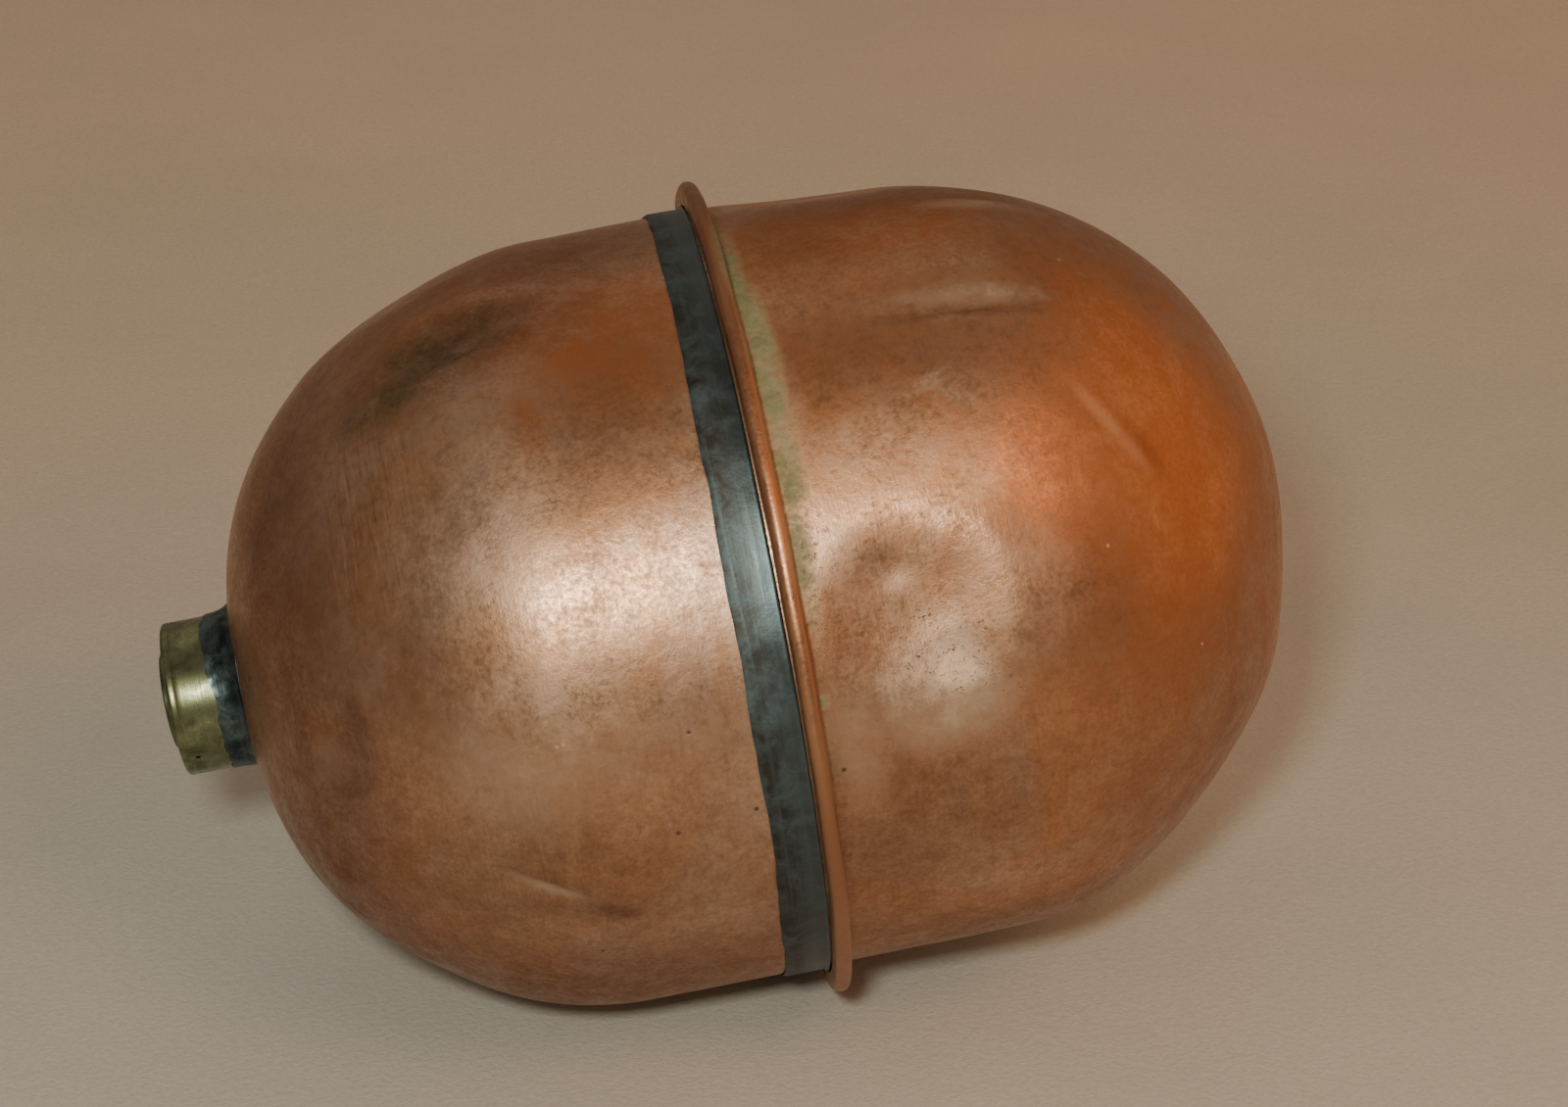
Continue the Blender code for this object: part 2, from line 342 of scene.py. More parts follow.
def aged_copper(name, rosy, orange, specks, nicks_and_glints):
    """Bare copper, browned in clouds and rubbed in rings, under the cup's own stains.

    Specks and the bright spots are places on the cup: dark spots, and bright ones where it was
    nicked; those that sit in the small light's highlight are painted glints.
    """
    material, tree, surface, place = metal(name)
    broad = cloudy(tree, place, 24, 4, 0.55, 0.8)
    hue = cloudy(tree, place, 38, 6, 0.65, 0.8)
    mottle = cloudy(tree, place, 170, 7, 0.7, 0.4)
    fleck = cloudy(tree, place, 560, 5, 0.7, 0.3)
    grain = cloudy(tree, place, 1300, 4, 0.7)
    rings = brushed(tree, place, 2300, 120)
    rubbed = brushed(tree, place, 420, 16)

    # The metal under the stains, with the rings and scratches that wiping has left.
    colour = blend(tree, between(tree, hue, 0.40, 0.60), rosy, orange)
    age = maths(tree, "ADD", maths(tree, "MULTIPLY", broad, 1.1), mottle)
    colour = blend(tree, between(tree, age, 0.85, 1.3, 0, 0.6), colour, (0.26, 0.12, 0.075))
    colour = blend(tree, between(tree, fleck, 0.50, 0.66, 0, 0.45), colour, (0.27, 0.15, 0.085))
    colour = blend(tree, between(tree, fleck, 0.46, 0.32, 0, 0.35), colour, (0.66, 0.40, 0.29))
    scuffed = between(tree, stained(tree, "scuffs"), 0.0, 1.0, 0.10, 0.5)
    scored = maths(tree, "MULTIPLY", between(tree, rings, 0.52, 0.7), scuffed)
    colour = blend(tree, scored, colour, (0.18, 0.08, 0.045))
    shiny = maths(tree, "MULTIPLY", between(tree, rings, 0.42, 0.28), scuffed)
    colour = blend(tree, shiny, colour, (0.80, 0.48, 0.34))
    colour = blend(tree, between(tree, grain, 0.42, 0.68, 0.0, 0.35), colour, (0.20, 0.10, 0.06))
    colour = blend(tree, stained(tree, "bead"), colour, (0.42, 0.215, 0.13))

    # The stains, from the thinnest film to the thickest crust. Noise makes their edges ragged.
    ragged = maths(tree, "ADD", mottle, maths(tree, "MULTIPLY", grain, 0.3))
    cover = between(tree, ragged, 0.45, 0.85, 0.5)
    # The flush, tarnish and bloom stains also carry painted reflection, painted shade and
    # painted highlight on some patches.
    flush_and_reflection = maths(tree, "MULTIPLY", stained(tree, "flush_and_reflection"), cover)
    colour = blend(tree, flush_and_reflection, colour, (0.40, 0.15, 0.062))
    tarnish_and_shade = maths(tree, "MULTIPLY", stained(tree, "tarnish_and_shade"), cover)
    colour = blend(tree, tarnish_and_shade, colour, (0.17, 0.062, 0.03))
    bloom_and_highlight = maths(tree, "MULTIPLY", stained(tree, "bloom_and_highlight"), between(tree, ragged, 0.5, 0.8, 0.3))
    colour = blend(tree, bloom_and_highlight, colour, (0.66, 0.485, 0.38))
    cover = between(tree, ragged, 0.45, 0.85, 0.45, 1.4)
    burnt = maths(tree, "MULTIPLY", stained(tree, "soot"), cover)
    soot = between(tree, burnt, 0.05, 0.95, 0, 0.85)
    flecks = between(tree, fleck, 0.4, 0.6)
    sooty = blend(tree, flecks, (0.065, 0.030, 0.015), (0.100, 0.082, 0.035))
    colour = blend(tree, soot, colour, sooty)
    crusted = maths(tree, "MULTIPLY", stained(tree, "verdigris"), cover)
    crust = between(tree, crusted, 0.1, 1.0)
    green = blend(tree, between(tree, mottle, 0.4, 0.6), (0.30, 0.31, 0.22), (0.19, 0.25, 0.135))
    green = blend(tree, between(tree, fleck, 0.42, 0.66, 0, 0.7), green, (0.13, 0.16, 0.085))
    colour = blend(tree, maths(tree, "MULTIPLY", crust, 0.85), colour, green)
    pitted = maths(tree, "MULTIPLY", stained(tree, "pits"), between(tree, grain, 0.6, 0.68))
    dark = maths(tree, "MAXIMUM", pitted, spots(tree, place, specks, 0.55))
    colour = blend(tree, dark, colour, (0.06, 0.03, 0.018))
    # Bright spots: nicked copper, and where they sit in the highlight, painted glints.
    bright = spots(tree, place, nicks_and_glints, 0.42)
    colour = blend(tree, maths(tree, "MULTIPLY", bright, 0.7), colour, (0.90, 0.58, 0.40))
    tree.links.new(colour, surface.inputs["Base Color"])

    # Clean copper is the smoothest and the most metallic, and the crust is the least.
    rough = between(tree, mottle, 0.35, 0.7, 0.355, 0.52)
    rough = maths(tree, "ADD", rough, between(tree, grain, 0.36, 0.66, -0.09, 0.09))
    rough = maths(tree, "ADD", rough, maths(tree, "MULTIPLY", soot, 0.1))
    rough = maths(tree, "ADD", rough, maths(tree, "MULTIPLY", crust, 0.35))
    tree.links.new(rough, surface.inputs["Roughness"])
    dull = maths(tree, "MAXIMUM", maths(tree, "MULTIPLY", crust, 0.7), dark)
    dull = maths(tree, "MAXIMUM", dull, maths(tree, "MULTIPLY", soot, 0.5))
    patina = between(tree, ragged, 0.4, 0.9, 0.96, 0.84)
    bare = maths(tree, "MULTIPLY", maths(tree, "SUBTRACT", 1.0, dull), patina)
    tree.links.new(bare, surface.inputs["Metallic"])

    layers = ((rings, 0.5), (grain, 1.0), (fleck, 1.3), (mottle, 2.2))
    layers += ((crust, 1.5), (dark, -2.5), (rubbed, 0.6))
    raise_grain(tree, surface, stacked(tree, *layers), 0.03 * mm)
    return material


def finish_piece(shape, name, material, cad_node, sharp=35):
    """Make the shape a piece that stands for its CAD node."""
    mesh = bpy.data.meshes.new(name)
    shape.to_mesh(mesh)
    shape.free()
    mesh.shade_smooth()
    mesh.set_sharp_from_angle(angle=math.radians(sharp))
    mesh.materials.append(material)
    piece = bpy.data.objects.new(name, mesh)
    bpy.context.scene.collection.objects.link(piece)
    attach(piece, "root")
    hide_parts(cad_node)
    return piece


outline = dome(0, boss_hole_radius, 1.0)
outline += flange_bend(sheet / 2, bend_radius)
outline += arc((0, fold_radius), sheet / 2, 0, half_turn, 6)
outline += list(reversed(flange_bend(sheet / 2, bend_radius + sheet)))
outline += list(reversed(dome(sheet, boss_hole_radius, 0.4)))
outline = [(seam_x - reach, radius) for reach, radius in outline]
boss_cup = turned(outline, True, cup_facets)
boss_cup_dents = (
    bowl(28.5, 10.5, 8, 8, 0, 1.6, 1.2, 0.1),  # small knock beside the boss
    bowl(56, 77, 17, 8.5, 12, 1.4, 1.3, 0.08),  # under the burn
    bowl(50, 108, 22, 20, 0, 2.3),  # flat at the back of the shoulder
    groove(55.8, -12.3, 9, 3.0, -27, 1.0),  # crease low on the front
    bowl(60, -19, 9, 4.5, -15, 1.0, 1.5),
    bowl(46, 48, 16, 12, 20, 0.35),
    bowl(70, 172, 15, 12, 30, 0.9, 1.5, 0.05),  # knock on the back
    bowl(40, -118, 10, 8, 0, 0.6, 1.5),
    bowl(20, 90, 27, 27, 0, -1.3),  # left fuller where the shoulder was pushed in
    bowl(22, -38, 29, 30, 0, -1.6),
)
batter(boss_cup, boss_cup_dents, 3.7)
# Each stain is a group of patches. Where two overlap, the stronger one counts. Flush is the
# orange film of heated copper, tarnish the brown one, and bloom the pale rubbed or dusty one.
# Some patches are painted light: tarnish also paints shade and bloom highlight at dents and
# creases, and the flush on the plain cup's right end is partly painted reflection of warm light.
boss_cup_stains = {
    "soot": (
        patch(52, 74, 12, 11, 8, 1.05),
        patch(47, 69.5, 9, 6.5, 15, 1.1),
        patch(56, 73.5, 8, 3.6, 40, 1.15),
        patch(42, 68.5, 9, 4.5, 0, 0.9),
        patch(58, 76.5, 13, 11, 8, 0.7),
        patch(50, -12, 26, 18, 0, 0.22),
        patch(33, 150, 8, 5, 0, 0.5),
    ),
    "tarnish_and_shade": (
        patch(57, 75, 26, 14, 12, 0.9),
        patch(60, 78, 15, 9, 14, 1.1),
        # painted shade: the dark upper side of the knock beside the boss
        patch(32, 15, 4, 8, 0, 0.9),
        patch(65, -18, 6, 3, -10, 0.8),
        patch(52, -12, 28, 20, 0, 0.4),
        patch(22, 40, 17, 60, 0, 0.7),
        patch(24, -30, 22, 40, 0, 0.9),
        patch(52, -42, 46, 22, 0, 0.85),
        patch(74, 92, 30, 16, 0, 0.7),
        patch(60, 95, 34, 22, 0, 0.5),
        patch(60, 190, 22, 16, 30, 0.6),
    ),
    "flush_and_reflection": (
        patch(80, 70, 22, 20, 0, 1.2),
        patch(60, 94, 36, 20, 0, 0.9),
        patch(66, 57, 4, 10, 0, 0.8),
        patch(72, -48, 34, 18, 0, 0.8),
        patch(34, -20, 18, 30, 0, 0.5),
        patch(60, 150, 30, 30, 0, 0.6),
    ),
    "bloom_and_highlight": (
        # painted highlight: the lit lower side of the knock beside the boss
        patch(26, 8, 4.5, 5, 0, 0.25),
        # painted highlight along the crease low on the front
        patch(56, -12.3, 8, 1.2, -27, 0.8),
        patch(54, 42, 17, 20, -20, 0.6),
        patch(58, 12, 18, 18, 0, 0.5),
        # painted highlight where the small light's highlight falls on the wall
        patch(78, 28, 14, 10, 0, 0.25),
        patch(91, 25, 2.6, 40, 0, 0.4),
    ),
    "verdigris": (patch(90, 150, 3, 18, 0, 0.3),),
    "scuffs": (
        patch(40, 50, 12, 20, 0, 1.1),
        patch(55, -8, 12, 18, 0, 0.6),
        patch(50, 160, 16, 20, 0, 0.7),
    ),
    "pits": (patch(70, 0, 20, 30, 0, 0.3), patch(34, 60, 16, 16, 0, 0.3)),
}
boss_cup_copper = aged_copper(
    "boss_cup_copper",
    (0.56, 0.38, 0.295),
    (0.53, 0.295, 0.175),
    [(76.8, -5.5), (81, 9.3), (89, -4), (62.3, -26.5), (47, 75), (71, 150), (50, -130)],
    [(62.4, 10.8), (69.3, 27.6), (70.5, 27.2), (61.4, 10.7), (60, 140)],
)
boss_cup_shell = finish_piece(boss_cup, "boss_cup_shell", boss_cup_copper, "boss_cup")
stain(boss_cup_shell.data, boss_cup_stains)


# --- Plain cup --------------------------------------------------------------------------
# The closed half, drawn from the same sheet. Its rim turns out and is folded back over the
# boss cup's flange, and this fold is the bead round the float's middle. A line of
# old flux and verdigris lies beside the bead, and a round dent has spoiled its front.

hook_reach = 2.2 * mm
inner_half_width = bead_half_width - sheet
hook_end = fold_radius - hook_reach

outline = dome(0, 0, 1.0)
outline += flange_bend(bead_half_width, bend_radius)
outline += arc((0, fold_radius), bead_half_width, 0, half_turn, 20)
outline += [(-bead_half_width, hook_end), (-inner_half_width, hook_end)]
outline += arc((0, fold_radius), inner_half_width, half_turn, 0, 8)
outline += list(reversed(flange_bend(bead_half_width, bend_radius + sheet)))
outline += list(reversed(dome(sheet, 0, 0.4)))
outline = [(seam_x + reach, radius) for reach, radius in outline]
plain_cup = turned(outline, False, cup_facets)
plain_cup_dents = (
    bowl(118, 20.5, 15.5, 16.5, 20, 2.0, 2.0, 0.05),  # round dent on the front
    bowl(123, 12, 7, 5, 0, 0.3, 1.5),
    bowl(114, 26, 5, 4, 0, 0.3, 1.5),
    bowl(134, 64.5, 16, 5.5, -5, 0.65, 1.5, 0.05),  # long dent near the top
    groove(152.7, 40.6, 13, 3.6, -53, 0.5),  # slanting crease on the shoulder
    bowl(145, 109, 42, 24, 0, 2.4),  # flattened at the back of the top
    bowl(118, 106, 20, 16, 0, 0.5),
    bowl(163, -40, 32, 30, 0, 2.0),
    bowl(181, -2, 26, 26, 0, 1.6),
    bowl(128, 160, 15, 12, -30, 1.0, 1.5, 0.06),  # knocks on the back
    bowl(160, -130, 12, 9, 20, 0.8, 1.5),
)
batter(plain_cup, plain_cup_dents, 8.3)

# The bead was rolled by hand, so it waves a little, and one knock has nicked it near the top.
bead_wear = 0.16 * mm
bead_sway = 0.2 * mm
nick_depth = 0.5 * mm
bead_nick = spread(seam_x / mm, 69, 3, 2.2, 0)
for vert in plain_cup.verts:
    if math.hypot(vert.co.y, vert.co.z) > body_radius + 2 * bend_radius:
        inward = bead_wear * (0.5 + noise.noise(vert.co / (9 * mm)))
        nicked = bead_nick(vert.co * (body_radius / bead_radius))
        if nicked and nicked[0] ** 2 + nicked[1] ** 2 < 1:
            inward += nick_depth * (1 - nicked[0] ** 2 - nicked[1] ** 2)
        vert.co -= Vector((0, vert.co.y, vert.co.z)).normalized() * inward
        vert.co.x += bead_sway * noise.noise(vert.co / (14 * mm) + Vector((5, 0, 0)))

plain_cup_stains = {
    "soot": (patch(101, 79, 1.6, 11, 0, 0.8), patch(150, 140, 7, 4, 0, 0.3)),
    "tarnish_and_shade": (
        patch(124, 55, 27, 9, -8, 0.15),
        # painted shade: the dark line under the long dent near the top
        patch(133, 61, 16, 1.2, -3, 0.8),
        patch(111, 83, 13, 16, 0, 0.4),
        patch(99.3, 100, 5, 60, 0, 0.6),
        # painted shade on the round dent's upper rim, dimming the highlight there
        patch(129.5, 28, 9, 7, 0, 0.8),
        # painted shade beside the slanting crease on the shoulder
        patch(156, 39, 12, 2.2, -53, 0.45),
        patch(115, -10, 26, 19, 0, 0.45),
        patch(113, 28, 9, 9, 0, 0.2),
        patch(165, -25, 26, 30, 0, 0.25),
        patch(128, 92, 34, 14, 0, 0.5),
        patch(128, -48, 34, 16, 0, 0.7),
        patch(150, 170, 22, 14, 20, 0.6),
    ),
    "flush_and_reflection": (
        # These two are partly painted reflection: the orange of warm light on the plain cup's
        # right end.
        patch(162, 38, 30, 56, 0, 1.1),
        patch(178, 5, 14, 50, 0, 0.9),
        patch(122, 84, 34, 20, 0, 1.2),
        patch(124, 58, 24, 9, -8, 0.6),
        patch(160, -20, 30, 30, 0, 0.6),
        patch(140, 170, 30, 30, 0, 0.6),
    ),
    "bloom_and_highlight": (
        # painted highlight on the round dent's lit lower side
        patch(119, 9, 13, 12, 20, 1.1),
        patch(112, 22, 10, 10, 0, 0.5),
        patch(131, 12, 5, 7, 0, 0.4),
        patch(106, 31, 8, 10, 0, 0.7),
        patch(126, 50.5, 6, 1.3, 25, 0.7),
        patch(129.5, 48, 4, 1.1, -35, 0.7),
        patch(116, 42, 14, 9, 15, 0.5),
        # painted highlight low in the round dent
        patch(121.5, 7, 11, 8, 0, 1.3),
        patch(134, 20, 12, 14, 0, 0.4),
        patch(112, 26, 6, 6, 0, 0.5),
        # painted highlight along the slanting crease on the shoulder
        patch(152.7, 41, 11, 1.6, -53, 0.5),
        # painted highlight along the long dent near the top
        patch(137, 64.5, 14, 2.4, -5, 1.1),
        patch(143, 86, 12, 2.2, 0, 0.7),
        patch(106, 4, 5, 16, 0, 0.5),
        patch(104.5, 44, 3.5, 24, 0, 0.4),
    ),
    "verdigris": (
        patch(101.6, 76, 2.6, 20, 0, 1.1),
        patch(102.9, 60, 3.2, 20, 0, 1.3),
        patch(102.8, 46, 3.2, 20, 0, 1.0),
        patch(102.2, 30, 2.6, 18, 0, 0.75),
        patch(101.2, 5, 1.6, 14, 0, 0.4),
        patch(101.4, 9.8, 1.3, 1.5, 0, 1.4),
        patch(101.4, 160, 2.8, 24, 0, 0.8),
        patch(101.2, -120, 2.4, 20, 0, 0.6),
    ),
    "scuffs": (
        patch(118, 18, 16, 18, 0, 0.5),
        patch(150, 55, 14, 16, 0, 0.3),
        patch(140, 150, 20, 20, 0, 0.7),
    ),
    "pits": (
        patch(120, 13, 12, 13, 0, 1.0),
        patch(129, 8, 5, 6, 0, 1.0),
        patch(105, 22, 5, 18, 0, 0.7),
        patch(118, 33, 12, 6, 0, 0.25),
    ),
    # The whole bead has its own tone, from just outside the wall.
    "bead": (lambda point: min(1.0, max(0.0, math.hypot(point.y, point.z) / mm - 64.6)),),
}
plain_cup_copper = aged_copper(
    "plain_cup_copper",
    (0.59, 0.37, 0.26),
    (0.58, 0.29, 0.155),
    [(112.8, 15.3), (102.9, -0.6), (121.8, 11.3), (123, 10.5), (140, 150)],
    [(152.1, 71.8), (148, 23.3), (161.4, 2.9), (150, 200)],
)
plain_cup_shell = finish_piece(
    plain_cup, "plain_cup_shell", plain_cup_copper, "plain_cup"
)
stain(plain_cup_shell.data, plain_cup_stains)


# --- Seam solder ------------------------------------------------------------------------
# A band of soft solder, wiped flat onto the boss cup while hot, that seals the folded seam
# on its left side. It has gone dark blue-grey, and its free edge wanders.

solder_low, solder_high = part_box("seam_solder")
solder_near = seam_x - solder_high[0]
solder_far = seam_x - solder_low[0]
solder_inside = body_radius + 0.5 * touching_gap
solder_top = solder_inside + 0.38 * mm
solder_edge = 0.12 * mm
solder_slope = 0.9 * mm
solder_fillet = 0.5 * mm

outline = [(solder_far, solder_inside), (solder_far, solder_inside + solder_edge)]
slope_top = (solder_far - solder_slope, solder_top)
outline += run(slope_top, (solder_near + solder_fillet, solder_top), 10)
fillet_centre = (solder_near + solder_fillet, solder_top + solder_fillet)
outline += arc(fillet_centre, solder_fillet, 1.5 * math.pi, math.pi, 8)[1:]
outline += [(solder_near, solder_inside)]
outline = [(seam_x - reach, radius) for reach, radius in reversed(outline)]
seam_solder = turned(outline, True, cup_facets)
for vert in seam_solder.verts:
    point = vert.co.copy()
    share = (seam_x - point.x - solder_near) / (solder_far - solder_near)
    wander = 0.35 * noise.noise(point / (20 * mm)) + 0.2 * noise.noise(point / (4 * mm))
    wander += 1.3 * max(0.0, point.z / body_radius) ** 3
    vert.co.x += (0.25 + wander) * share**3 * mm
    height = math.hypot(point.y, point.z) - solder_inside
    if height > 0.05 * mm:
        lump = 0.09 * noise.noise(point / (7 * mm)) + 0.04 * noise.noise(point / (2 * mm))
        vert.co += Vector((0, point.y, point.z)).normalized() * lump * mm


def soft_solder(name, dark, pale, rough, dull_x, bright_x):
    """Dull lead-tin solder, wiped in rings, that gets smoother and paler in colour between two
    places along X; on the seam band the paler colour is a painted highlight.
    """
    material, tree, surface, place = metal(name)
    mottle = cloudy(tree, place, 220, 6, 0.65, 0.5)
    grain = cloudy(tree, place, 1800, 3, 0.6)
    wiped = brushed(tree, place, 900, 24)
    along = node(tree, "ShaderNodeSeparateXYZ", {0: place}).outputs["X"]
    polish_and_sheen = between(tree, along, dull_x, bright_x)
    colour = blend(tree, between(tree, mottle, 0.42, 0.64), dark, pale)
    colour = blend(tree, between(tree, wiped, 0.52, 0.72, 0, 0.6), colour, pale)
    colour = blend(tree, between(tree, grain, 0.5, 0.7, 0, 0.5), colour, dark)
    # Paler towards bright_x: on the seam band a painted highlight where the fillet rises to the
    # bead.
    colour = blend(tree, maths(tree, "MULTIPLY", polish_and_sheen, 0.45), colour, pale)
    tree.links.new(colour, surface.inputs["Base Color"])
    worn = between(tree, mottle, 0.3, 0.75, rough - 0.02, rough + 0.16)
    worn = maths(tree, "SUBTRACT", worn, maths(tree, "MULTIPLY", polish_and_sheen, 0.12))
    tree.links.new(worn, surface.inputs["Roughness"])
    height = stacked(tree, (wiped, 1.2), (mottle, 1.0), (grain, 0.4))
    raise_grain(tree, surface, height, 0.05 * mm)
    return material


# The band grows paler and smoother towards the bead; the paler colour there is a painted
# highlight.
solder_x = solder_low[0]
seam_solder_grey = soft_solder(
    "seam_solder_grey",
    (0.058, 0.060, 0.058),
    (0.112, 0.158, 0.188),
    0.48,
    solder_x + 2.5 * mm,
    solder_x + 5.5 * mm,
)
finish_piece(seam_solder, "seam_solder_band", seam_solder_grey, "seam_solder")


# --- Threaded bush ----------------------------------------------------------------------
# A turned brass bush through the boss cup's crown. The valve's rod screws into its blind
# hole, which has a 3/8 inch Whitworth thread, and its flange bears on the crown from inside.

bush_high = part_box("threaded_bush")[1]
bush_radius = 7.9 * mm
bush_flange_radius = bush_high[1]
bush_back = bush_high[0]
hole_radius = 4.0 * mm
hole_depth = 10.7 * mm
hole_chamfer = 0.9 * mm
drill_tip = hole_depth + hole_radius / math.tan(math.radians(59))
thread_pitch = 25.4 * mm / 16
thread_depth = 0.7 * mm
flange_depth = sheet + 0.5 * mm


def crown_x(radius, depth):
    """Where the boss cup's crown is at this radius, on the surface this deep in the copper."""
    return seam_x - crown_centre - math.sqrt((crown_radius - depth) ** 2 - radius**2)


outline = [
    (bush_back, 0),
    (bush_back, bush_flange_radius),
    (crown_x(bush_flange_radius, flange_depth), bush_flange_radius),
    (crown_x(bush_radius, flange_depth), bush_radius),
]
outline += arc((0.3 * mm, bush_radius - 0.3 * mm), 0.3 * mm, quarter_turn, math.pi, 4)
outline += [(0, hole_radius + hole_chamfer)]
outline += run((hole_chamfer, hole_radius), (hole_depth, hole_radius), 80)
outline += [(drill_tip, 0)]
threaded_bush = turned(outline, False, 96)
for vert in threaded_bush.verts:
    x, y, z = vert.co
    if hole_chamfer < x < hole_depth and math.hypot(y, z) < hole_radius + 0.1 * mm:
        lead = (x / thread_pitch - math.atan2(z, y) / (2 * math.pi)) % 1
        fade = min(1.0, (hole_depth - x) / thread_pitch)
        cut = thread_depth * fade * (1 - abs(2 * lead - 1)) / hole_radius
        vert.co = (x, y * (1 + cut), z * (1 + cut))


def turned_brass(name, clean, brown, rough):
    """Turned brass gone olive, with fine tool rings and darker grime."""
    material, tree, surface, place = metal(name)
    mottle = cloudy(tree, place, 260, 6, 0.65, 0.5)
    grain = cloudy(tree, place, 2400, 3, 0.6)
    rings = brushed(tree, place, 5200, 60)
    colour = blend(tree, between(tree, mottle, 0.36, 0.66), clean, brown)
    colour = blend(tree, between(tree, rings, 0.5, 0.75, 0, 0.35), colour, brown)
    colour = blend(tree, between(tree, grain, 0.55, 0.7, 0, 0.5), colour, brown)
    tree.links.new(colour, surface.inputs["Base Color"])
    worn = between(tree, mottle, 0.3, 0.75, rough - 0.05, rough + 0.12)
    tree.links.new(worn, surface.inputs["Roughness"])
    raise_grain(tree, surface, stacked(tree, (rings, 1.0), (mottle, 2.2)), 0.02 * mm)
    return material


bush_brass = turned_brass("bush_brass", (0.185, 0.20, 0.12), (0.07, 0.075, 0.045), 0.30)
finish_piece(threaded_bush, "bush_with_thread", bush_brass, "threaded_bush")


# --- Collar -----------------------------------------------------------------------------
# A plain brass ring round the bush, bedded on the crown outside. Its front edge is softly
# rounded, with one fine tool line behind it, and a pin hole is drilled low in its side.

collar_low, collar_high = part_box("boss_collar")
collar_radius = collar_high[1]
collar_front = collar_low[0]
collar_chamfer = 0.6 * mm
tool_line = 1.35 * mm
tool_line_width = 0.3 * mm
tool_line_depth = 0.06 * mm
collar_back = crown_x(collar_radius, 0) - touching_gap
pin_hole_x = 3.7 * mm
pin_hole_turn = -25

outline = [(crown_x(boss_hole_radius, 0) - touching_gap, boss_hole_radius)]
line_back = collar_front + tool_line + 0.5 * tool_line_width
outline += run((collar_back, collar_radius), (line_back, collar_radius), 12)
outline += [(collar_front + tool_line, collar_radius - tool_line_depth)]
outline += [(line_back - tool_line_width, collar_radius)]
edge_centre = (collar_front + collar_chamfer, collar_radius - collar_chamfer)
outline += arc(edge_centre, collar_chamfer, quarter_turn, math.pi, 6)
outline += [(collar_front, boss_hole_radius)]
boss_collar = turned(outline, True, 128)
angle = math.radians(pin_hole_turn)
pin_hole = Vector(
    (pin_hole_x, -collar_radius * math.cos(angle), collar_radius * math.sin(angle))
)
drilled = min(boss_collar.faces, key=lambda face: (face.calc_center_median() - pin_hole).length)
bmesh.ops.inset_individual(boss_collar, faces=[drilled], thickness=0.04 * mm)
bmesh.ops.inset_individual(boss_collar, faces=[drilled], thickness=0.02 * mm, depth=-0.9 * mm)

collar_brass = turned_brass("collar_brass", (0.29, 0.33, 0.20), (0.10, 0.108, 0.065), 0.28)
finish_piece(boss_collar, "collar_ring", collar_brass, "boss_collar")


# --- Boss solder ------------------------------------------------------------------------
# Soft solder run round the foot of the collar. It sweeps out onto the crown in a lumpy
# fillet, higher in some places than in others.

fillet_low, fillet_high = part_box("boss_solder")
fillet_start = fillet_low[0]
fillet_radius = fillet_high[1]
collar_gap = 0.12 * mm
crown_gap = 0.03 * mm
lip_width = 0.25 * mm
fillet_inside = collar_radius + collar_gap
fillet_lip = fillet_inside + lip_width
fillet_foot = crown_x(fillet_radius, 0) - crown_gap
fillet_steps = 18

outline = [(fillet_foot, fillet_radius)]
for step in range(fillet_steps + 1):
    turn = quarter_turn * step / fillet_steps
    across = (fillet_foot - crown_gap - fillet_start) * math.cos(turn)
    down = (fillet_radius - fillet_lip) * math.sin(turn)
    outline.append((fillet_start + across, fillet_radius - down))
outline += [(fillet_start, fillet_inside)]
outline += [(crown_x(fillet_inside, 0) - crown_gap, fillet_inside)]
boss_solder = turned(outline, True, 160)
for vert in boss_solder.verts:
    point = vert.co.copy()
    radius = math.hypot(point.y, point.z)
    around = Vector((0, point.y, point.z)).normalized()
    level = crown_x(radius, 0) - point.x

    # The foot is narrow underneath and sweeps out at the top.
    narrow = 0.62 - 0.38 * around.z + 0.25 * noise.noise(around * 2.3)
    narrow = min(0.85, max(0.0, narrow))
    radius -= (radius - fillet_inside) * narrow
    level -= 0.02 * mm

    # The outside is lumpy, and creeps higher up the collar at the top.
    if level > 0.1 * mm:
        lump = 0.9 * noise.noise(around * 1.7) + 0.35 * noise.noise(around * 6)
        lump += 0.12 * noise.noise(point / (0.9 * mm)) + 0.5 * around.z
        level += (lump - 0.35) * min(1.0, level / (3 * mm)) * mm
        radius += 0.1 * noise.noise(point / (1.1 * mm)) * mm
    vert.co = around * radius
    vert.co.x = crown_x(radius, 0) - level
boss_solder_grey = soft_solder(
    "boss_solder_grey", (0.028, 0.042, 0.050), (0.125, 0.175, 0.195), 0.34, 9.5 * mm, 7.5 * mm
)
finish_piece(boss_solder, "boss_solder_fillet", boss_solder_grey, "boss_solder", 60)


# --- Floor ------------------------------------------------------------------------------
# A pale cloth on a table. Its colour is painted light: cooler in front and paler and warmer
# behind, standing in for the small light falling on the front and warm room light behind.
# The float lies tipped towards its boss, on its bead and the boss cup's shoulder, so in its
# own frame the floor slopes. The cloth lies flat under the float and is a little rumpled round
# it.

shoulder = Vector((-wall_length, -knuckle_height))
bead = Vector((0, -fold_radius))
apart = bead - shoulder
tip = math.acos((knuckle_radius - bead_half_width) / apart.length)
rest_tilt = math.radians(-90) - (math.atan2(apart.y, apart.x) - tip)
lean = Matrix.Rotation(rest_tilt, 4, "Y")
floor_up = lean @ Vector((0, 0, 1))
touch = Vector((seam_x, 0, -fold_radius)) - floor_up * bead_half_width

